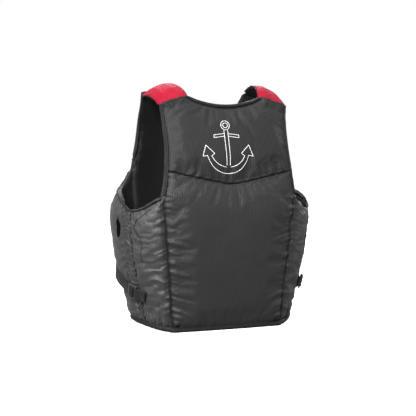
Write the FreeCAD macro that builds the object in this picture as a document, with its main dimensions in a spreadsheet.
import FreeCAD, Part
import Sketcher

import math
import os

# Foam buoyancy aid (life jacket) with a front zip and side strap adjusters.
# Frame: +Z up, the front faces -Y, the back faces +Y, the wearer's left is +X. Millimetres.
# The origin is the middle of the jacket's box, at the level of the hem.

V = FreeCAD.Vector

# --------------------------------------------------------------------------
# Driving dimensions
# --------------------------------------------------------------------------
SIZES = [
    # whole jacket
    ("jacket_height", 550.0),      # hem to the top of the shoulders
    ("chest_half_width", 232.0),   # outside, at the chest
    ("chest_half_depth", 133.0),   # outside of the back panel, and of the pockets in front
    # soft layers
    ("back_foam", 23.0),
    ("front_foam", 20.0),
    ("side_foam", 11.0),
    ("shoulder_foam", 7.0),
    ("cover_cloth", 1.2),
    ("lining_cloth", 1.0),
    ("layer_ease", 0.4),           # clearance between layers
    ("seam_gap", 1.6),             # clearance between sewn panels
    ("foam_inset", 7.0),           # foam stands back from a panel's edge
    ("binding_width", 7.0),
    ("arm_binding_width", 3.6),
    ("side_hem_rise", 13.0),       # how far the hem rises at the sides
    ("gusset_thickness", 5.0),
    # panels: heights as shares of the jacket's, widths as shares of the chest's half width
    ("back_seam_share", 0.668),    # half width of the back panel at the underarm
    ("back_hem_share", 0.5475),    # half width of the back panel at the hem
    ("underarm_share", 0.54),      # top of the princess seams
    ("yoke_side_share", 0.642),    # yoke seam at its ends
    ("yoke_dip_share", 0.058),     # how far the yoke seam dips at the middle
    ("arm_hollow_share", 0.039),   # how far the armhole hollows the back panel
    ("neck_share", 0.375),         # half width of the neck opening
    ("shoulder_share", 0.267),     # width of a shoulder
    ("back_seam_top_share", 0.94), # shoulder seam behind, at the neck
    ("front_seam_top_share", 0.9927),
    ("front_arm_share", 0.6655),   # where the front panel's edge leaves the underarm seam
    ("front_neck_share", 0.7782),  # foot of the front neckline
    ("shoulder_fall", 19.0),       # drop of the shoulder seams from neck to arm
    ("crest_shift", 17.0),         # how far the neck edge bows out at the crest
    ("crest_slope", 0.47),         # fall of the crest per millimetre outwards
    ("back_neck_drop", 20.0),
    ("pocket_depth", 11.0),
    ("pocket_low_share", 0.113),
    ("pocket_high_share", 0.404),
    # zip
    ("zip_share", 0.9128),         # distance of the zip in front of the origin, of the front's
    ("zip_low", 6.0),
    ("zip_box_height", 11.0),
    ("tooth_pitch", 4.4),
    ("tooth_height", 1.8),
    ("tooth_reach", 1.3),          # how far a tooth passes the middle line
    ("tooth_root", 4.0),           # half width of the closed chain
    ("tooth_thickness", 2.4),
    ("tape_half_width", 8.6),
    ("tape_thickness", 0.8),
    ("stop_width", 2.0),
    ("stop_height", 4.0),
    ("slider_drop", 30.0),         # foot of the slider below the neckline, zip closed
    ("slider_length", 15.0),
    ("slider_half_width", 6.0),
    ("slider_plate", 1.3),
    ("slider_play", 0.35),
    ("pull_length", 30.0),
    ("pull_width", 8.0),
    ("pull_thickness", 2.0),
    ("pull_pin", 0.9),             # radius of the pin that the pull swings on
    # side straps and ladder locks
    ("webbing_width", 25.0),
    ("webbing_thickness", 1.4),
    ("webbing_ease", 0.8),         # clearance of the webbing in the buckle's width
    ("left_strap_share", 0.156),   # height of the buckles; each strap can sit a little differently
    ("right_strap_share", 0.171),
    ("lock_bar", 1.9),             # radius of the buckle's hinge bar
    ("lock_rail", 3.6),            # thickness of the side rails
    ("lock_middle", 10.0),         # hinge bar to middle bar
    ("lock_middle_half", 1.8),     # half width of the middle bar
    ("lock_front", 19.5),          # hinge bar to front bar
    ("lock_stand", 5.4),           # height of the hinge bar above the panel
    ("bar_ease", 0.45),            # clearance of the webbing round a bar
    ("tail_length", 58.0),
    ("tail_stand", 13.0),          # how far the loose end stands off the jacket
]

doc = FreeCAD.newDocument("life_jacket")
sheet = doc.addObject("Spreadsheet::Sheet", "sizes")
for row, (alias, value) in enumerate(SIZES, start=1):
    sheet.set(f"A{row}", alias)
    sheet.set(f"B{row}", str(value))
    sheet.setAlias(f"B{row}", alias)
doc.recompute()
S = {alias: float(sheet.get(alias)) for alias, _ in SIZES}

for name, share, whole in (
    ("back_seam_half", "back_seam_share", "chest_half_width"),
    ("back_hem_half", "back_hem_share", "chest_half_width"),
    ("arm_hollow", "arm_hollow_share", "chest_half_width"),
    ("neck_half", "neck_share", "chest_half_width"),
    ("shoulder_width", "shoulder_share", "chest_half_width"),
    ("underarm_height", "underarm_share", "jacket_height"),
    ("yoke_side_height", "yoke_side_share", "jacket_height"),
    ("yoke_drop", "yoke_dip_share", "jacket_height"),
    ("shoulder_seam_height", "back_seam_top_share", "jacket_height"),
    ("front_seam_height", "front_seam_top_share", "jacket_height"),
    ("front_arm_start", "front_arm_share", "jacket_height"),
    ("front_neck_height", "front_neck_share", "jacket_height"),
    ("pocket_low", "pocket_low_share", "jacket_height"),
    ("pocket_high", "pocket_high_share", "jacket_height"),
    ("left_strap_height", "left_strap_share", "jacket_height"),
    ("right_strap_height", "right_strap_share", "jacket_height"),
):
    S[name] = S[share] * S[whole]

nodes = []


def keep(obj, label):
    """Names an object as one sub-part of the jacket."""
    obj.Label = label
    nodes.append(obj)
    return obj


def soft(label, shape):
    """A sewn or foam sub-part, whose shape is made with Part's own functions."""
    obj = doc.addObject("Part::Feature", label)
    obj.Shape = shape
    return keep(obj, label)


def mirrored(shape):
    """The same piece on the wearer's right."""
    return shape.mirror(V(0, 0, 0), V(1, 0, 0))


def both_sides(label, shape):
    soft("left_" + label, shape)
    soft("right_" + label, mirrored(shape))


# --------------------------------------------------------------------------
# The jacket's form: its outline at any height
# --------------------------------------------------------------------------
H = S["jacket_height"]
TALL = H / 550.0                       # levels are set out on a jacket 550 high
WIDE = S["chest_half_width"] / 232.0
DEEP = S["chest_half_depth"] / 133.0
FRONT_FLAT = S["chest_half_depth"] - S["pocket_depth"] - S["layer_ease"]

# Each row: height, depth of the back at its middle and edge, half width of the sides, depth of the
# front beside the zip, at its middle and at its edge (shares of the front's own depth), and the
# distance of the front's outer seam from the middle.
LEVELS = [
    (-20, 104, 101, 166, 0.920, 0.925, 0.800, 130),
    (0, 109, 105, 180, 0.920, 0.935, 0.815, 134),
    (45, 116, 111, 194, 0.920, 0.950, 0.850, 140),
    (100, 122, 117, 209, 0.920, 0.970, 0.880, 147),
    (160, 128, 123, 222, 0.920, 0.985, 0.905, 154),
    (220, 132, 127, 230, 0.920, 0.997, 0.920, 160),
    (255, 133, 129, 232, 0.920, 1.000, 0.925, 163),
    (290, 133, 129, 226, 0.920, 1.000, 0.925, 164),
    (320, 132, 129, 214, 0.920, 0.995, 0.915, 166),
    (350, 130, 128, 203, 0.920, 0.980, 0.890, 165),
    (400, 118, 117, 178, 0.920, 0.930, 0.810, 157),
    (450, 102, 101, 164, 0.880, 0.850, 0.740, 152),
    (500, 88.5, 88, 152, 0.740, 0.690, 0.520, 153),
    (527, 81.5, 81, 152, 0.620, 0.540, 0.300, 155),
    (548, 76, 75.5, 152, 0.500, 0.385, 0.100, 157),
    (566, 71, 70.5, 152, 0.420, 0.270, 0.000, 159),
]


def level(z):
    """The form at height z, by a smooth curve through the levels."""
    rows = [(r[0] * TALL,) + tuple(r[1:]) for r in LEVELS]
    z = min(max(z, rows[0][0]), rows[-1][0])
    i = max(k for k in range(len(rows) - 1) if rows[k][0] <= z)
    lo, hi = rows[i], rows[i + 1]
    step = hi[0] - lo[0]
    t = (z - lo[0]) / step

    def slope(k, c):
        if k == 0 or k == len(rows) - 1:
            a, b = (k, k + 1) if k == 0 else (k - 1, k)
        else:
            a, b = k - 1, k + 1
        return (rows[b][c] - rows[a][c]) / (rows[b][0] - rows[a][0])

    values = []
    for c in range(1, 8):
        m0, m1 = slope(i, c) * step, slope(i + 1, c) * step
        values.append(
            (2 * t**3 - 3 * t**2 + 1) * lo[c] + (t**3 - 2 * t**2 + t) * m0
            + (3 * t**2 - 2 * t**3) * hi[c] + (t**3 - t**2) * m1
        )
    return {
        "back_middle": values[0] * DEEP, "back_edge": values[1] * DEEP, "side": values[2] * WIDE,
        "zip": -values[3] * FRONT_FLAT, "front_middle": -values[4] * FRONT_FLAT,
        "front_edge": -values[5] * FRONT_FLAT, "front_seam": values[6] * WIDE,
    }


def back_seam(z):
    """Half width of the back panel at height z, below the underarm."""
    share = z / S["underarm_height"]
    return S["back_hem_half"] + (S["back_seam_half"] - S["back_hem_half"]) * share


def arm_edge(z):
    """Half width of the back panel beside the armhole: a shallow hollow curve."""
    top = S["neck_half"] + S["shoulder_width"]
    low, high = S["underarm_height"], S["shoulder_seam_height"] - S["shoulder_fall"]
    t = (z - low) / (high - low)
    straight = S["back_seam_half"] + (top - S["back_seam_half"]) * t
    hollow = math.sin(math.pi * min(max(t, 0.0), 1.0)) ** 0.8
    return straight - S["arm_hollow"] * hollow


def circle(a, b, c):
    """Centre and radius of the circle through three points (x, y)."""
    d = 2 * (a[0] * (b[1] - c[1]) + b[0] * (c[1] - a[1]) + c[0] * (a[1] - b[1]))
    sq = [p[0] ** 2 + p[1] ** 2 for p in (a, b, c)]
    x = (sq[0] * (b[1] - c[1]) + sq[1] * (c[1] - a[1]) + sq[2] * (a[1] - b[1])) / d
    y = (sq[0] * (c[0] - b[0]) + sq[1] * (a[0] - c[0]) + sq[2] * (b[0] - a[0])) / d
    return (x, y), math.hypot(a[0] - x, a[1] - y)


def arc_band(a, b, c, share0, share1, depth0, depth1, place):
    """A closed wire: the part of arc a-b-c between two shares of its sweep, from depth0 to depth1
    inside it. place turns a flat point into a point of the model."""
    (cx, cy), r = circle(a, b, c)
    start = math.atan2(a[1] - cy, a[0] - cx)
    middle = (math.atan2(b[1] - cy, b[0] - cx) - start + math.pi) % (2 * math.pi) - math.pi
    end = (math.atan2(c[1] - cy, c[0] - cx) - start + math.pi) % (2 * math.pi) - math.pi
    inward = 1.0 if (cx - b[0]) * b[0] + (cy - b[1]) * b[1] <= 0 else -1.0

    def at(share, depth):
        angle = start + end * share
        radius = r - inward * depth
        return place(cx + radius * math.cos(angle), cy + radius * math.sin(angle))

    half = (share0 + share1) / 2
    outer = Part.Arc(at(share0, depth0), at(half, depth0), at(share1, depth0)).toShape()
    inner = Part.Arc(at(share1, depth1), at(half, depth1), at(share0, depth1)).toShape()
    ends = [
        Part.makeLine(at(share1, depth0), at(share1, depth1)),
        Part.makeLine(at(share0, depth1), at(share0, depth0)),
    ]
    assert middle * end > 0
    return Part.Wire([outer, ends[0], inner, ends[1]])


def heights(low, high, step=38.0):
    count = max(2, int(math.ceil((high - low) / step)) + 1)
    return [low + (high - low) * i / (count - 1) for i in range(count)]


def loft(wires):
    return Part.makeLoft(wires, True, False)


def edge_thickness(z):
    """Share of full padding at height z: thinner towards the hem and the shoulders."""
    top = S["shoulder_seam_height"]
    if z < 60:
        return 0.72 + 0.28 * max(z, 0) / 60
    if z < 0.68 * top:
        return 1.0
    return 1.0 - 0.55 * min(1.0, (z - 0.68 * top) / (0.32 * top))


def layer(full, which, z):
    """Depths from the outer face of one layer of a padded panel."""
    cover, lining, ease = S["cover_cloth"], S["lining_cloth"], S["layer_ease"]
    total = full * edge_thickness(z) + cover + lining + 2 * ease
    return {
        "cover": (0.0, cover),
        "foam": (cover + ease, total - lining - ease),
        "lining": (total - lining, total),
        "whole": (0.0, total),
    }[which]


def back_points(z):
    f = level(z)
    half = S["back_seam_half"] + 12.0
    return (-half, f["back_edge"]), (0.0, f["back_middle"]), (half, f["back_edge"])


def arc_y(points, x):
    """Where the arc through three points stands at x."""
    (cx, cy), r = circle(*points)
    rise = math.sqrt(r**2 - (x - cx) ** 2)
    return cy + math.copysign(rise, points[1][1] - cy)


def back_slab(which, low, high):
    wires = []
    for z in heights(low, high):
        d0, d1 = layer(S["back_foam"], which, z)
        wires.append(arc_band(*back_points(z), 0.0, 1.0, d0, d1, lambda x, y, z=z: V(x, y, z)))
    return loft(wires)


SIDE_MIDDLE = -16.0                    # the side is widest a little in front of the middle


def side_points(z):
    f = level(z)
    x = back_seam(min(z, S["underarm_height"]))
    return (x, f["back_edge"]), (f["side"], SIDE_MIDDLE * DEEP), (f["front_seam"], f["front_edge"])


def side_slab(which, share0, share1, low, high, full=None):
    """A stretch of the side, from share0 of the way round (back) to share1 (front)."""
    wires = []
    for z in heights(low, high):
        d0, d1 = which if isinstance(which, tuple) else layer(full, which, z)
        wires.append(
            arc_band(*side_points(z), share0, share1, d0, d1, lambda x, y, z=z: V(x, y, z))
        )
    return loft(wires)


def front_points(z):
    f = level(z)
    near, far = S["tape_half_width"], f["front_seam"]
    return (near, f["zip"]), ((near + far) / 2, f["front_middle"]), (far, f["front_edge"])


def front_slab(which, low, high):
    wires = []
    for z in heights(low, high):
        d0, d1 = which if isinstance(which, tuple) else layer(S["front_foam"], which, z)
        wires.append(
            arc_band(*front_points(z), -0.06, 1.08, d0, d1, lambda x, y, z=z: V(x, y, z))
        )
    return loft(wires)


# --------------------------------------------------------------------------
# Cutting outlines, drawn flat and pushed through the panels
# --------------------------------------------------------------------------
def spline(points):
    curve = Part.BSplineCurve()
    curve.interpolate(points)
    return curve.toShape()


def joined(edges):
    return Part.Face(Part.Wire(Part.__sortEdges__(edges)))


def push(edges, along):
    return joined(edges).extrude(along)


def line(a, b):
    return Part.makeLine(a, b)


def xz(x, z, y=0.0):
    return V(x, y, z)


def other_side(p):
    return V(-p.x, p.y, p.z)


THROUGH = 400.0                        # long enough to pass through the whole jacket


def seam_curve(shift, low, high, y):
    """The princess seam, moved sideways by shift."""
    return [xz(back_seam(z) + shift, z, y) for z in (low, high)]


def yoke_dip(x):
    """Height of the yoke seam at x: a shallow V with a round bottom."""
    share = abs(x) / S["back_seam_half"]
    return S["yoke_side_height"] - S["yoke_drop"] * (1 - share**1.25)


def back_lower_outline(edge_inset, seam_inset, hem):
    y0 = 20.0
    under = S["underarm_height"]
    side = [xz(back_seam(hem) - seam_inset, hem, y0), xz(back_seam(under) - seam_inset, under, y0)]
    zs = heights(under + 2.0, S["yoke_side_height"] - 2.0 - seam_inset, 20.0)
    arm = [xz(arm_edge(z) - edge_inset, z, y0) for z in zs]
    top_z = arm[-1].z
    xs = [arm[-1].x * k / 4.0 for k in range(4, -5, -1)]
    drop = top_z - yoke_dip(arm[-1].x)
    top = [xz(x, yoke_dip(x) + drop, y0) for x in xs]
    edges = [
        line(side[0], side[1]), line(side[1], arm[0]), spline(arm), spline(top),
        spline([other_side(p) for p in reversed(arm)]), line(other_side(arm[0]), other_side(side[1])),
        line(other_side(side[1]), other_side(side[0])), line(other_side(side[0]), side[0]),
    ]
    return push(edges, V(0, THROUGH / 2, 0))


def back_outline(arm_inset, neck_inset, seam_inset, hem):
    """The whole back seen from behind, hem to shoulders."""
    y0 = 20.0
    under = S["underarm_height"]
    seam_z = S["shoulder_seam_height"] - seam_inset
    neck_x = S["neck_half"] + neck_inset
    arm_x = S["neck_half"] + S["shoulder_width"] - arm_inset
    neck = xz(neck_x, shoulder_line(neck_x, seam_z), y0)
    tip = xz(arm_x, shoulder_line(arm_x, seam_z), y0)
    side = [xz(back_seam(hem) - seam_inset, hem, y0), xz(back_seam(under) - seam_inset, under, y0)]
    arm = [xz(arm_edge(z) - arm_inset, z, y0) for z in heights(under + 2.0, tip.z, 24.0)[:-1]] + [tip]
    dip = S["shoulder_seam_height"] - S["back_neck_drop"] - neck_inset
    edges = [
        line(side[0], side[1]), line(side[1], arm[0]), spline(arm), line(tip, neck),
        Part.Arc(neck, xz(0, dip, y0), other_side(neck)).toShape(),
        line(other_side(neck), other_side(tip)),
        spline([other_side(p) for p in reversed(arm)]), line(other_side(arm[0]), other_side(side[1])),
        line(other_side(side[1]), other_side(side[0])), line(other_side(side[0]), side[0]),
    ]
    return push(edges, V(0, THROUGH / 2, 0))


def shoulder_line(x, height):
    """Height of the shoulder seam at x, for a seam that meets the neck at height."""
    return height - S["shoulder_fall"] * (x - S["neck_half"]) / S["shoulder_width"]


def back_upper_outline(arm_inset, neck_inset, seam_inset, low_shift):
    y0 = 20.0
    z_low = S["yoke_side_height"] + low_shift
    seam_z = S["shoulder_seam_height"] - seam_inset
    neck_x = S["neck_half"] + neck_inset
    arm_x = S["neck_half"] + S["shoulder_width"] - arm_inset
    neck = xz(neck_x, shoulder_line(neck_x, seam_z), y0)
    tip = xz(arm_x, shoulder_line(arm_x, seam_z), y0)
    zs = heights(z_low, tip.z, 24.0)
    arm = [xz(arm_edge(z) - arm_inset, z, y0) for z in zs[:-1]] + [tip]
    drop = z_low - yoke_dip(arm[0].x)
    xs = [arm[0].x * k / 4.0 for k in range(-4, 5)]
    low = [xz(x, yoke_dip(x) + drop, y0) for x in xs]
    dip = S["shoulder_seam_height"] - S["back_neck_drop"] - neck_inset
    edges = [
        spline(low), spline(arm), line(tip, neck),
        Part.Arc(neck, xz(0, dip, y0), other_side(neck)).toShape(),
        line(other_side(neck), other_side(tip)), spline([other_side(p) for p in reversed(arm)]),
    ]
    return push(edges, V(0, THROUGH / 2, 0))


def side_hem(y):
    """Height of the hem at y: it rises at the sides, where elastic gathers it."""
    share = min(1.0, abs(y) / (100.0 * DEEP))
    return S["side_hem_rise"] * (1 - share**2.0) + 2.0


def side_top(y):
    """Height of the armhole's edge at y, from the underarm to the front of the shoulder."""
    rows = [(135, 302), (118, 291), (100, 275), (84, 267), (70, 268), (55, 275), (25, 291), (0, 301),
            (-40, 309), (-74, 320), (-95, 342), (-106, 366), (-130, 420)]
    y = y / DEEP
    for (y0, z0), (y1, z1) in zip(rows, rows[1:]):
        if y1 <= y <= y0:
            return TALL * (z0 + (z1 - z0) * (y0 - y) / (y0 - y1))
    return TALL * (rows[0][1] if y > rows[0][0] else rows[-1][1])


def side_outline(top_inset, hem_inset, low_y=-130.0, high_y=135.0):
    """The side seen from the side: hem below, armhole above. Pushed out along +X."""
    x0 = 60.0
    ys = [low_y + (high_y - low_y) * k / 12.0 for k in range(13)]
    top = spline([V(x0, y * DEEP, side_top(y * DEEP) - top_inset) for y in ys])
    low = spline([V(x0, y * DEEP, side_hem(y * DEEP) + hem_inset) for y in ys])
    ends = [line(low.valueAt(p), top.valueAt(q)) for p, q in (
        (low.FirstParameter, top.FirstParameter), (low.LastParameter, top.LastParameter))]
    return push([top, low] + ends, V(THROUGH / 2, 0, 0))


def beyond_back_seam(shift):
    """Everything outside the princess seam, behind the middle of the side."""
    y0 = 6.0
    a, b = seam_curve(shift, -30.0, H, y0)
    return push([line(a, b), line(b, xz(400, H, y0)), line(xz(400, H, y0), xz(400, -30, y0)),
                 line(xz(400, -30, y0), a)], V(0, THROUGH / 2, 0))


def front_seam_spline(shift, y):
    zs = heights(-20.0 * TALL, 540.0 * TALL, 40.0)
    return [xz(level(z)["front_seam"] + shift, z, y) for z in zs]


def beyond_front_seam(shift):
    """Everything outside the seam between a front panel and its underarm panel."""
    y0 = -300.0
    curve = front_seam_spline(shift, y0)
    a, b = curve[0], curve[-1]
    far = 400.0
    return push([spline(curve), line(b, xz(far, b.z, y0)), line(xz(far, b.z, y0), xz(far, a.z, y0)),
                 line(xz(far, a.z, y0), a)], V(0, 360.0, 0))


def front_outline(zip_edge, arm_inset, neck_inset, seam_inset, hem):
    """A front panel seen from in front, for the wearer's left. It runs on past the shoulder seam."""
    y0 = -300.0
    past = 8.0
    neck_x = S["neck_half"] + S["crest_shift"] + neck_inset
    neck_z = shoulder_line(neck_x, S["front_seam_height"]) + past
    zs = heights(hem, S["front_seam_height"] - S["shoulder_fall"] + past, 36.0)
    insets = [seam_inset if z < S["front_arm_start"] else arm_inset for z in zs]
    outer = [xz(level(z)["front_seam"] - inset, z, y0) for z, inset in zip(zs, insets)]
    throat = []
    for share in (0.0, 0.2, 0.4, 0.6, 0.8, 0.93, 1.0):
        x = zip_edge + (neck_x - zip_edge) * share
        bowl = 0.55 * (1 - math.sqrt(1 - share**2.2)) + 0.45 * share**1.6
        foot = S["front_neck_height"] - neck_inset
        throat.append(xz(x, foot + (neck_z - foot) * bowl, y0))
    edges = [
        spline(outer), line(outer[-1], throat[-1]), spline(list(reversed(throat))),
        line(throat[0], xz(zip_edge, hem, y0)), line(xz(zip_edge, hem, y0), outer[0]),
    ]
    return push(edges, V(0, 300.0, 0))


# --------------------------------------------------------------------------
# The shoulders' form: arches from the back yoke to the front panels, over the crest
# --------------------------------------------------------------------------
def shoulder_points(x):
    """Three points (y, z) of the arch's outer face at x."""
    back_z = shoulder_line(x, S["shoulder_seam_height"])
    front_z = shoulder_line(x, S["front_seam_height"])
    crest_z = H - S["crest_slope"] * (x - S["neck_half"] - S["crest_shift"])
    back, front = arc_y(back_points(back_z), x), arc_y(front_points(front_z), x)
    return (back, back_z), (CREST * DEEP, crest_z), (front, front_z)


def shoulder_arch(share0, share1, depth0, depth1, spread):
    """The stretch of both edges' arches between two shares of the way forwards."""
    x0 = S["neck_half"] - spread
    x1 = S["neck_half"] + S["shoulder_width"] + spread
    wires = [
        arc_band(*shoulder_points(x), share0, share1, depth0, depth1, lambda y, z, x=x: V(x, y, z))
        for x in (x0, x1)
    ]
    return Part.makeLoft(wires, True, True)


CREST = 12.0
ARCH = 132.0                           # length of the arch over the crest


def past_shoulder_seam(gap):
    """Everything behind the seam between a front panel and its shoulder."""
    return shoulder_arch(0.5, 1.0 + gap / ARCH, -25.0, 45.0, 18.0)


# --------------------------------------------------------------------------
# Back panel: lower panel and yoke, each a cover over a foam block, and one lining
# --------------------------------------------------------------------------
INSET = S["foam_inset"]
GAP = S["seam_gap"]
BIND = S["binding_width"]
ARM = S["arm_binding_width"]
HEM = BIND + S["layer_ease"]
back_low, top_of_back = -15.0, S["shoulder_seam_height"] + 6.0

lower = back_lower_outline(ARM + S["layer_ease"], GAP / 2, HEM)
lower_foam = back_lower_outline(ARM + INSET, INSET, HEM + INSET)
upper = back_upper_outline(ARM + S["layer_ease"], BIND + S["layer_ease"], GAP / 2, GAP / 2)
upper_foam = back_upper_outline(ARM + INSET, BIND + INSET, INSET, INSET)
soft("back_cover", back_slab("cover", back_low, top_of_back).common(lower))
soft("back_yoke_cover", back_slab("cover", back_low, top_of_back).common(upper))
soft("back_foam", back_slab("foam", back_low, top_of_back).common(lower_foam))
soft("back_yoke_foam", back_slab("foam", back_low, top_of_back).common(upper_foam))
whole = back_outline(ARM + S["layer_ease"], BIND + S["layer_ease"], GAP / 2, HEM)
soft("back_lining", back_slab("lining", back_low, top_of_back).common(whole))

# --------------------------------------------------------------------------
# Sides: a foam side panel behind, an elastic gusset, and the underarm panel in front
# --------------------------------------------------------------------------
SIDE_END, GUSSET_END = 0.29, 0.40      # shares of the way round the side
clear = S["layer_ease"]
rear_room = beyond_back_seam(GAP)
front_room = beyond_front_seam(GAP / 2)
band_top = side_outline(ARM + clear, BIND + clear)
band_foam = side_outline(ARM + INSET, BIND + INSET)
side_low, side_high = -15.0, 330.0 * TALL
under_high = 430.0 * TALL


def trimmed(shape, *tools):
    for tool in tools:
        shape = shape.common(tool)
    return shape


step = 0.008                           # gap beside the gusset, as a share of the way round
both_sides("side_cover", trimmed(
    side_slab("cover", -0.03, SIDE_END, side_low, side_high, S["side_foam"]), band_top, rear_room))
both_sides("side_foam", trimmed(
    side_slab("foam", -0.03, SIDE_END - 2 * step, side_low, side_high, S["side_foam"]),
    band_foam, beyond_back_seam(GAP + INSET)))
both_sides("side_lining", trimmed(
    side_slab("lining", -0.03, SIDE_END, side_low, side_high, S["side_foam"]), band_top, rear_room))
both_sides("elastic_gusset", trimmed(
    side_slab((2.0, 2.0 + S["gusset_thickness"]), SIDE_END + step, GUSSET_END - step, side_low,
              380.0 * TALL), band_top))
both_sides("underarm_cover", trimmed(
    side_slab("cover", GUSSET_END, 1.04, side_low, under_high, S["side_foam"]), band_top, front_room))
both_sides("underarm_foam", trimmed(
    side_slab("foam", GUSSET_END + 2 * step, 1.04, side_low, under_high, S["side_foam"]),
    band_foam, beyond_front_seam(GAP / 2 + INSET)))
both_sides("underarm_lining", trimmed(
    side_slab("lining", GUSSET_END, 1.04, side_low, under_high, S["side_foam"]), band_top, front_room))

# --------------------------------------------------------------------------
# Front panels and their pockets
# --------------------------------------------------------------------------
zip_edge = S["tape_half_width"] + clear
front_top = S["front_seam_height"] + 9.0
front_trim = past_shoulder_seam(GAP / 2)
front_face = front_outline(zip_edge, ARM + clear, BIND + clear, GAP / 2, HEM)
front_inner = front_outline(zip_edge + INSET, ARM + INSET, BIND + INSET, INSET, HEM + INSET)
both_sides("front_cover", front_slab("cover", -15, front_top).common(front_face).cut(front_trim))
both_sides("front_foam", front_slab("foam", -15, front_top).common(front_inner).cut(
    past_shoulder_seam(GAP / 2 + INSET)))
both_sides("front_lining", front_slab("lining", -15, front_top).common(front_face).cut(front_trim))


def pocket_outline():
    """A patch pocket with rounded lower corners and a slanted hand opening at its outer edge."""
    y0 = -300.0
    low, high = S["pocket_low"], S["pocket_high"]
    x0 = S["tape_half_width"] + 24.0
    x1 = level(low)["front_seam"] - 14.0
    x2 = level(high)["front_seam"] - 34.0
    r = 14.0
    p = [xz(x0 + r, low, y0), xz(x1 - r, low, y0), xz(x1, low + r, y0), xz(x1, (low + high) / 2, y0),
         xz(x2, high, y0), xz(x0, high, y0), xz(x0, low + r, y0)]
    k = r * (1 - math.sqrt(0.5))
    edges = [
        line(p[0], p[1]), Part.Arc(p[1], xz(x1 - k, low + k, y0), p[2]).toShape(), line(p[2], p[3]),
        line(p[3], p[4]), line(p[4], p[5]), line(p[5], p[6]),
        Part.Arc(p[6], xz(x0 + k, low + k, y0), p[0]).toShape(),
    ]
    return push(edges, V(0, 280.0, 0))


pocket = front_slab((-S["pocket_depth"], -clear), -15, front_top).common(pocket_outline())
both_sides("front_pocket", pocket)


# --------------------------------------------------------------------------
# Shoulders: padded arches from the back yoke to the front panels
# --------------------------------------------------------------------------
def shoulder_outline(inset):
    """The shoulder seen from above: its neck edge bows outwards over the crest."""
    x0, x1 = S["neck_half"] + inset, S["neck_half"] + S["shoulder_width"] - inset
    bows = [(-110, 1.0), (-70, 1.0), (-36, 1.0), (8, 0.95), (50, 0.62), (86, 0.0), (130, 0.0)]
    neck = [V(x0 + S["crest_shift"] * bow, y * DEEP, 300) for y, bow in bows]
    arm = [V(x1 + 0.36 * S["crest_shift"] * bow, y * DEEP, 300) for y, bow in bows]
    edges = [spline(neck), line(neck[-1], arm[-1]), spline(list(reversed(arm))), line(arm[0], neck[0])]
    return push(edges, V(0, 0, THROUGH))


def below_back_seam(gap):
    """Everything under the seam between the yoke and a shoulder."""
    a, b = S["neck_half"] - 30.0, S["neck_half"] + S["shoulder_width"] + 40.0
    height = S["shoulder_seam_height"] + gap
    low = 0.7 * H
    corners = [xz(a, low), xz(b, low), xz(b, shoulder_line(b, height)), xz(a, shoulder_line(a, height))]
    edges = [line(p, q) for p, q in zip(corners, corners[1:] + corners[:1])]
    return push(edges, V(0, 200.0, 0))


def shoulder_layer(depth0, depth1, inset, gap):
    shape = shoulder_arch(-0.08, 1.0 - gap / ARCH, depth0, depth1, 12.0).common(shoulder_outline(inset))
    return shape.cut(below_back_seam(gap))


cover, lining, padding = S["cover_cloth"], S["lining_cloth"], S["shoulder_foam"]
shoulder_total = cover + lining + padding + 2 * clear
foam_top, foam_low = cover + clear, cover + clear + padding
both_sides("shoulder_cover", shoulder_layer(0.0, cover, clear, GAP / 2))
both_sides("shoulder_foam", shoulder_layer(foam_top, foam_low, clear + INSET * 0.6, GAP / 2 + INSET))
both_sides("shoulder_lining", shoulder_layer(
    shoulder_total - lining, shoulder_total, clear, GAP / 2))


# --------------------------------------------------------------------------
# Bindings: folded tape over the raw edges of the neck, the armholes and the hem
# --------------------------------------------------------------------------
SCRAP = 60.0                           # offcuts of a strip smaller than this are thrown away
one_half = Part.makeBox(THROUGH, 2 * THROUGH, 3 * THROUGH, V(0, -THROUGH, -THROUGH))


def group(*shapes):
    """Separate solids that share one node, such as the lengths of one tape."""
    solids = [solid for shape in shapes for solid in shape.Solids]
    return Part.makeCompound([solid for solid in solids if solid.Volume > SCRAP])


def strip(slab, outer, inner):
    return slab.common(outer).cut(inner)


back_whole = back_slab("whole", back_low, top_of_back)
front_whole = front_slab("whole", -15, front_top)
side_whole = side_slab("whole", -0.03, SIDE_END, side_low, side_high, S["side_foam"])
under_whole = side_slab("whole", GUSSET_END, 1.04, side_low, under_high, S["side_foam"])
gusset_whole = side_slab(
    (0.0, 2.0 + S["gusset_thickness"]), SIDE_END + step, GUSSET_END - step, side_low, 380.0 * TALL)
back_neck = strip(
    back_whole, back_outline(ARM + clear, 0.0, GAP / 2, HEM),
    back_outline(ARM + clear - 0.05, BIND, GAP / 2 - 0.05, HEM - 20))
front_neck_strip = strip(
    front_whole, front_outline(zip_edge, ARM + clear, 0.0, GAP / 2, HEM),
    front_outline(zip_edge - 1, ARM + clear - 0.05, BIND - 0.6, GAP / 2 - 0.05, HEM - 20))
front_neck_strip = front_neck_strip.cut(front_trim)
soft("neck_binding", group(back_neck, front_neck_strip, mirrored(front_neck_strip)))

back_arm = strip(
    back_whole, back_outline(0.0, BIND + clear, GAP / 2, S["underarm_height"] - 20),
    back_outline(ARM, BIND + clear - 0.05, -20.0, HEM - 60)).common(one_half)
front_arm = strip(
    front_whole, front_outline(zip_edge, 0.0, BIND + clear, GAP / 2, S["front_arm_start"] + 2.0),
    front_outline(zip_edge - 1, ARM, BIND + clear - 0.05, GAP / 2 - 0.05, HEM - 20))
side_arm = strip(side_whole, side_outline(0.0, HEM), side_outline(ARM, HEM - 30)).common(rear_room)
gusset_arm = strip(gusset_whole, side_outline(0.0, HEM), side_outline(ARM, HEM - 30))
under_arm = strip(under_whole, side_outline(0.0, HEM), side_outline(ARM, HEM - 30)).common(front_room)
front_arm = front_arm.cut(front_trim)
both_sides("arm_binding", group(back_arm, side_arm, gusset_arm, under_arm, front_arm))

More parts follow.
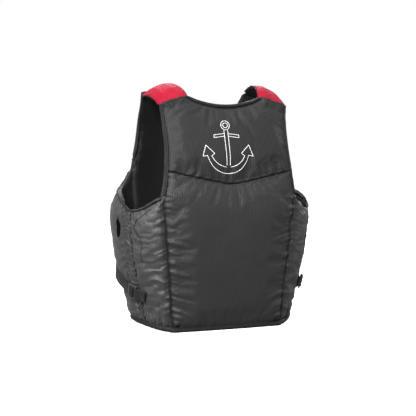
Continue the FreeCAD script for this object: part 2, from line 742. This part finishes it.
hem_band = Part.makeBox(2 * THROUGH, 2 * THROUGH, BIND, V(-THROUGH, -THROUGH, 0))
back_hem = back_whole.common(back_outline(BIND, BIND, GAP / 2, 0.0)).common(hem_band)
front_hem = front_whole.common(front_outline(zip_edge, BIND, BIND, GAP / 2, 0.0)).common(hem_band)
side_hems = [
    strip(shape, side_outline(0.0, 0.0), side_outline(-30.0, BIND))
    for shape in (side_whole.common(rear_room), gusset_whole, under_whole.common(front_room))
]
hems = [front_hem] + side_hems
soft("hem_binding", group(back_hem, *hems, *[mirrored(shape) for shape in hems]))


# --------------------------------------------------------------------------
# Hardware: primitives and sketches bound to the sheet
# --------------------------------------------------------------------------
def value(text):
    """An expression of the sheet's sizes as a number."""
    return float(sheet.evalExpression(text.replace("sizes.", "")))


def box(name, size, corner):
    """A block whose size and corner are expressions of the sheet."""
    obj = doc.addObject("Part::Box", name)
    for prop, text in zip(("Length", "Width", "Height"), size):
        obj.setExpression(prop, text)
    for axis, text in zip("xyz", corner):
        obj.setExpression(f"Placement.Base.{axis}", text)
    return obj


def rod(name, radius, length, start):
    """A round rod along X."""
    obj = doc.addObject("Part::Cylinder", name)
    obj.Placement = FreeCAD.Placement(V(0, 0, 0), FreeCAD.Rotation(V(0, 1, 0), 90))
    obj.setExpression("Radius", radius)
    obj.setExpression("Height", length)
    for axis, text in zip("xyz", start):
        obj.setExpression(f"Placement.Base.{axis}", text)
    return obj


def fused(name, *pieces):
    obj = doc.addObject("Part::MultiFuse", name)
    obj.Shapes = list(pieces)
    obj.Refine = True
    return obj


def cut(name, base, tool):
    obj = doc.addObject("Part::Cut", name)
    obj.Base, obj.Tool = base, tool
    obj.Refine = True
    return obj


def origin_plane(body, role):
    return next(item for item in body.Origin.OriginFeatures if item.Role == role)


def outline_sketch(body, name, role, corners):
    """A closed sketch with straight sides, each corner held by two expressions of the sheet."""
    sketch = body.newObject("Sketcher::SketchObject", name)
    sketch.AttachmentSupport = [(origin_plane(body, role), "")]
    sketch.MapMode = "FlatFace"
    at = [V(value(x), value(y), 0) for x, y in corners]
    count = len(at)
    for i in range(count):
        sketch.addGeometry(Part.LineSegment(at[i], at[(i + 1) % count]), False)
    for i in range(count):
        sketch.addConstraint(Sketcher.Constraint("Coincident", i, 2, (i + 1) % count, 1))
    for i, (x, y) in enumerate(corners):
        for kind, text, number in (("DistanceX", x, at[i].x), ("DistanceY", y, at[i].y)):
            index = sketch.addConstraint(Sketcher.Constraint(kind, -1, 1, i, 1, number))
            sketch.setExpression(f"Constraints[{index}]", text)
    return sketch


def pad(body, name, sketch, length):
    feature = body.newObject("PartDesign::Pad", name)
    feature.Profile = sketch
    feature.Midplane = True
    feature.setExpression("Length", length)
    return feature


# --------------------------------------------------------------------------
# Zip: two tapes with their teeth, a box at the foot, stops at the top, the slider and its pull
# --------------------------------------------------------------------------
FRONT = "(sizes.chest_half_depth - sizes.pocket_depth - sizes.layer_ease)"
ZY = f"(-sizes.zip_share * {FRONT})"
NECK = "(sizes.front_neck_share * sizes.jacket_height)"
tape_size = (
    "sizes.tape_half_width - sizes.tooth_root", "sizes.tape_thickness", f"{NECK} - 4 - sizes.zip_low")
tape_y = f"{ZY} - sizes.tape_thickness / 2"
keep(box("left_tape", tape_size, ("sizes.tooth_root", tape_y, "sizes.zip_low")), "left_zip_tape")
keep(box("right_tape", tape_size, ("-sizes.tape_half_width", tape_y, "sizes.zip_low")), "right_zip_tape")

teeth_low = S["zip_low"] + S["zip_box_height"] + 1.0
teeth_high = S["front_neck_height"] - S["slider_drop"] + S["slider_length"] * 0.42


def teeth(shift):
    """One side's chain for the wearer's left: a core strip with a tooth every pitch."""
    pitch, height = S["tooth_pitch"], S["tooth_height"]
    root, core, reach = S["tooth_root"], S["tooth_root"] - 2.0, -S["tooth_reach"]
    count = int((teeth_high - teeth_low - shift - height) / pitch)
    points = [(root, teeth_low), (core, teeth_low)]
    for i in range(count):
        z = teeth_low + shift + i * pitch
        points += [(core, z), (reach, z), (reach, z + height), (core, z + height)]
    points += [(core, teeth_high), (root, teeth_high)]
    points = [p for i, p in enumerate(points) if i == 0 or p != points[i - 1]]
    y = value(ZY) - S["tooth_thickness"] / 2
    wire = Part.makePolygon([V(x, y, z) for x, z in points + points[:1]])
    return Part.Face(wire).extrude(V(0, S["tooth_thickness"], 0))


soft("left_zip_teeth", teeth(0.5))
soft("right_zip_teeth", mirrored(teeth(0.5 + S["tooth_pitch"] / 2)))

# the box closes round the foot of both tapes
foot_half = "(sizes.tooth_root + 0.8)"
foot = box(
    "foot_block", (f"2 * {foot_half}", "sizes.tooth_thickness + 1.6", "sizes.zip_box_height"),
    (f"-{foot_half}", f"{ZY} - sizes.tooth_thickness / 2 - 0.8", "sizes.zip_low"))
slots = [
    box(f"tape_slot_{side}", ("4", "sizes.tape_thickness", "sizes.zip_box_height + 2"),
        (x, tape_y, "sizes.zip_low - 1"))
    for side, x in (("left", "sizes.tooth_root"), ("right", "-sizes.tooth_root - 4"))
]
keep(cut("foot_with_slots", foot, fused("tape_slots", *slots)), "zip_box")

stops = [
    box(f"stop_{side}", ("sizes.stop_width", "sizes.tooth_thickness", "sizes.stop_height"),
        (x, f"{ZY} - sizes.tooth_thickness / 2", f"{NECK} - 3 * sizes.stop_height"))
    for side, x in (("left", "sizes.tooth_root - sizes.stop_width"), ("right", "-sizes.tooth_root"))
]
keep(fused("stops", *stops), "zip_top_stops")

inner = "(sizes.tooth_thickness / 2 + sizes.slider_play)"
low = f"({NECK} - sizes.slider_drop)"
plates = [
    box("slider_front", ("2 * sizes.slider_half_width", "sizes.slider_plate", "sizes.slider_length"),
        ("-sizes.slider_half_width", f"{ZY} - {inner} - sizes.slider_plate", low)),
    box("slider_back", ("2 * sizes.slider_half_width", "sizes.slider_plate", "sizes.slider_length"),
        ("-sizes.slider_half_width", f"{ZY} + {inner}", low)),
    box("slider_neck", ("1.8", f"2 * {inner} + 1", "sizes.slider_length * 0.25"),
        ("-0.9", f"{ZY} - {inner} - 0.5", f"{low} + sizes.slider_length * 0.68")),
]
lip = "(sizes.tape_thickness / 2 + sizes.slider_play)"
for side, x in (("left", "sizes.tooth_root + sizes.slider_play"), ("right", "-sizes.slider_half_width")):
    for face, y in (("front", f"{ZY} - {inner} - 0.5"), ("back", f"{ZY} + {lip}")):
        plates.append(box(
            f"slider_lip_{side}_{face}",
            ("sizes.slider_half_width - sizes.tooth_root - sizes.slider_play", f"{inner} - {lip} + 0.5",
             "sizes.slider_length"),
            (x, y, low)))
pin_y = f"({ZY} - {inner} - sizes.slider_plate - sizes.pull_pin - 1.6)"
pin_z = f"({low} + sizes.slider_length * 0.6)"
for side, x in (("left", "2.4"), ("right", "-3.6")):
    plates.append(box(f"slider_lug_{side}", ("1.2", "2 * sizes.pull_pin + 2.4", "2 * sizes.pull_pin + 2"),
                      (x, f"{pin_y} - sizes.pull_pin - 0.4", f"{pin_z} - sizes.pull_pin - 1")))
plates.append(rod("slider_pin", "sizes.pull_pin", "6", ("-3", pin_y, pin_z)))
keep(fused("slider", *plates), "zip_slider")

pull = doc.addObject("PartDesign::Body", "pull_body")
half, eye = "(sizes.pull_width / 2)", "2.1"
pull_sketch = outline_sketch(pull, "pull_outline", "XZ_Plane", [
    (f"-{eye}", "2.2"), (f"-{eye}", "-3.6"), (f"-{half}", "-6.5"), (f"-{half}", "-sizes.pull_length + 2"),
    (f"-{half} + 2", "-sizes.pull_length"), (f"{half} - 2", "-sizes.pull_length"),
    (half, "-sizes.pull_length + 2"), (half, "-6.5"), (eye, "-3.6"), (eye, "2.2")])
pad(pull, "pull_pad", pull_sketch, "sizes.pull_thickness")
ring = pull.newObject("PartDesign::AdditiveCylinder", "pull_ring")
ring.Placement = FreeCAD.Placement(V(-value("2.1"), 0, 0), FreeCAD.Rotation(V(0, 1, 0), 90))
ring.setExpression("Radius", "sizes.pull_pin + 1.35")
ring.Height = 4.2
eye_hole = pull.newObject("PartDesign::SubtractiveCylinder", "pull_eye")
eye_hole.Placement = FreeCAD.Placement(V(-5, 0, 0), FreeCAD.Rotation(V(0, 1, 0), 90))
eye_hole.setExpression("Radius", "sizes.pull_pin + 0.15")
eye_hole.Height = 10
grip_half, grip_low = f"({half} - 2.4)", "-sizes.pull_length + 6"
slot_hole = outline_sketch(pull, "grip_slot", "XZ_Plane", [
    (f"-{grip_half}", grip_low), (grip_half, grip_low), (grip_half, "-12"), (f"-{grip_half}", "-12")])
pocket_cut = pull.newObject("PartDesign::Pocket", "grip_pocket")
pocket_cut.Profile = slot_hole
pocket_cut.Midplane = True
pocket_cut.setExpression("Length", "sizes.pull_thickness + 2")
for axis, text in (("y", pin_y), ("z", pin_z)):
    pull.setExpression(f"Placement.Base.{axis}", text)
keep(pull, "zip_pull")


# --------------------------------------------------------------------------
# Side adjusters: webbing from the front, a ladder lock on a webbing loop behind
# --------------------------------------------------------------------------
def side_place(z, share, stand, spin, sign):
    """Origin and axes on the side's surface: forwards, up along the surface, outwards."""

    def point(height, part):
        a, b, c = side_points(height)
        (cx, cy), r = circle(a, b, c)
        start = math.atan2(a[1] - cy, a[0] - cx)
        sweep = (math.atan2(c[1] - cy, c[0] - cx) - start + math.pi) % (2 * math.pi) - math.pi
        return V(cx + r * math.cos(start + sweep * part), cy + r * math.sin(start + sweep * part), height)

    forward = (point(z, share + 0.01) - point(z, share - 0.01)).normalize()
    upward = (point(z + 2, share) - point(z - 2, share)).normalize()
    outward = forward.cross(upward).normalize()
    if outward.x < 0:
        outward = outward * -1
    base = point(z, share) + outward * stand
    turn = FreeCAD.Rotation(outward, spin)
    forward = turn.multVec(forward)
    if sign < 0:
        base, forward, outward = other_side(base), other_side(forward), other_side(outward)
    across = outward.cross(forward)
    return FreeCAD.Placement(base, FreeCAD.Rotation(forward, across, outward, "XYZ"))


def ribbon(points, thickness, width, bend=lambda x: 0.0):
    """Webbing whose middle line runs through points (forwards, outwards) in a buckle's own frame.

    bend gives how far the line has swung sideways at a distance forwards.
    """
    curve = Part.BSplineCurve()
    curve.interpolate([V(x, 0, z) for x, z in points])
    count = 6 * len(points)
    wires = []
    for i in range(count + 1):
        p = curve.FirstParameter + (curve.LastParameter - curve.FirstParameter) * i / count
        middle = curve.value(p)
        tangent = curve.tangent(p)[0]
        slope = (bend(middle.x + 0.1) - bend(middle.x - 0.1)) / 0.2
        along = V(tangent.x, slope * tangent.x, tangent.z).normalize()
        normal = V(-tangent.z, 0, tangent.x)
        across = normal.cross(along).normalize()
        normal = along.cross(across).normalize()
        middle.y = bend(middle.x)
        corners = [middle + across * (a * width / 2) + normal * (b * thickness / 2)
                   for a, b in ((-1, -1), (1, -1), (1, 1), (-1, 1))]
        wires.append(Part.makePolygon(corners + corners[:1]))
    return Part.makeLoft(wires, True, True)


HINGE_SHARE = 0.31
SPIN = {"left": -18.0, "right": 14.0}       # how far each buckle leans: the left rises forwards
SWING = {"left": 12.0, "right": 24.0}       # how far each tail's tip swings further, up or down
bar, ease, web = S["lock_bar"], S["bar_ease"], S["webbing_thickness"]
rail_out = "(sizes.webbing_width / 2 + sizes.webbing_ease + sizes.lock_rail)"
rail_in = "(sizes.webbing_width / 2 + sizes.webbing_ease)"
bar_near = "(sizes.lock_middle - sizes.lock_middle_half)"
bar_far = "(sizes.lock_middle + sizes.lock_middle_half)"
front_bar = "(sizes.lock_front - 2.1)"
mid, front = S["lock_middle"], S["lock_front"]
loop = bar + ease + web / 2
wrap_top = S["lock_rail"] / 2 + ease + web / 2
near_slot = mid - S["lock_middle_half"] - ease - web / 2
far_slot = mid + S["lock_middle_half"] + ease + web / 2
tail_path = [
    (near_slot, -wrap_top + 0.6), (near_slot, 0.0), (mid - 1.5, wrap_top + 0.2),
    (mid + 1.5, wrap_top + 0.2), (far_slot + 0.4, 0.2), (far_slot + web / 2 + 1.2, -wrap_top + 0.35),
    (front, -wrap_top - 0.1), (front + 6, -wrap_top + 0.1),
]
loop_path = [
    (-27.0, -3.3), (-18.0, -3.1), (-10.0, -3.0), (-4.0, -loop - 0.1), (0.0, -loop),
    (loop * 0.72, -loop * 0.72), (loop, 0.0), (loop * 0.72, loop * 0.72), (0.0, loop),
    (-4.0, loop - 0.7), (-9.0, 0.6), (-14.0, -0.9), (-18.0, -1.35), (-27.0, -1.6),
]
for name, sign in (("left", 1), ("right", -1)):
    strap_height = S[f"{name}_strap_height"]
    place = side_place(strap_height, HINGE_SHARE, S["lock_stand"], SPIN[name], sign)
    lock = doc.addObject("PartDesign::Body", f"{name}_lock_body")
    frame = outline_sketch(lock, f"{name}_lock_frame", "XY_Plane", [
        ("-sizes.lock_bar - 0.5", f"{rail_out} - 1.5"), ("-sizes.lock_bar + 1", rail_out),
        ("sizes.lock_front", rail_out), ("sizes.lock_front + 2.6", f"{rail_out} - 3"),
        ("sizes.lock_front + 2.6", f"-{rail_out} + 3"), ("sizes.lock_front", f"-{rail_out}"),
        ("-sizes.lock_bar + 1", f"-{rail_out}"), ("-sizes.lock_bar - 0.5", f"-{rail_out} + 1.5"),
        ("-sizes.lock_bar - 0.5", f"-{rail_in}"), (bar_near, f"-{rail_in}"), (bar_near, rail_in),
        ("-sizes.lock_bar - 0.5", rail_in)])
    pad(lock, f"{name}_lock_pad", frame, "sizes.lock_rail")
    window = outline_sketch(lock, f"{name}_lock_window", "XY_Plane", [
        (bar_far, f"-{rail_in}"), (front_bar, f"-{rail_in}"), (front_bar, rail_in), (bar_far, rail_in)])
    opening = lock.newObject("PartDesign::Pocket", f"{name}_lock_slot")
    opening.Profile = window
    opening.Midplane = True
    opening.setExpression("Length", "sizes.lock_rail + 2")
    pin = lock.newObject("PartDesign::AdditiveCylinder", f"{name}_lock_pin")
    pin.setExpression("Radius", "sizes.lock_bar")
    pin.setExpression("Height", f"2 * {rail_in} + 2")
    pin.Placement = FreeCAD.Placement(V(0, value(f"{rail_in} + 1"), 0), FreeCAD.Rotation(V(1, 0, 0), 90))
    lock.Placement = place
    keep(lock, f"{name}_ladder_lock")

    loop_piece = ribbon(loop_path, web, S["webbing_width"])
    loop_piece.Placement = place
    soft(f"{name}_anchor_webbing", loop_piece)

    length = S["tail_length"]
    radius = circle(*side_points(strap_height))[1]
    start = front + 6
    path = list(tail_path)
    for share in (0.25, 0.5, 0.75, 1.0):
        x = start + length * share
        surface = -S["lock_stand"] - (radius - math.sqrt(radius**2 - x**2))
        path.append((x, surface + 4.4 + S["tail_stand"] * share**1.5))

    def swing(x):
        return -SWING[name] * (max(0.0, x - start) / length) ** 2

    tail = ribbon(path, web, S["webbing_width"], swing)
    tail.Placement = place
    soft(f"{name}_strap_tail", tail)

    run = side_slab((-clear - web, -clear), HINGE_SHARE, 0.99, 20.0, 240.0 * TALL)
    reach = Part.makeBox(THROUGH, S["webbing_width"], 260, V(mid - 2.0, -S["webbing_width"] / 2, -255.0))
    reach.Placement = place
    soft(f"{name}_strap_run", (run if sign > 0 else mirrored(run)).common(reach))

    hinge = [round(c / 1000, 6) for c in place.Base]
    axis = [round(c, 6) for c in place.Rotation.multVec(V(0, -1, 0))]
    print(f"{name} buckle hinge at", hinge, "along", axis)


# --------------------------------------------------------------------------
# Check every object and write the parts
# --------------------------------------------------------------------------
doc.recompute()
for item in doc.Objects:
    assert "Invalid" not in item.State and "Error" not in item.State, f"{item.Label}: {item.State}"
for item in nodes:
    assert not item.Shape.isNull() and item.Shape.isValid(), f"{item.Label} has a bad shape"
os.makedirs("parts", exist_ok=True)
for item in nodes:
    item.Shape.exportStep(f"parts/{item.Label}.step")
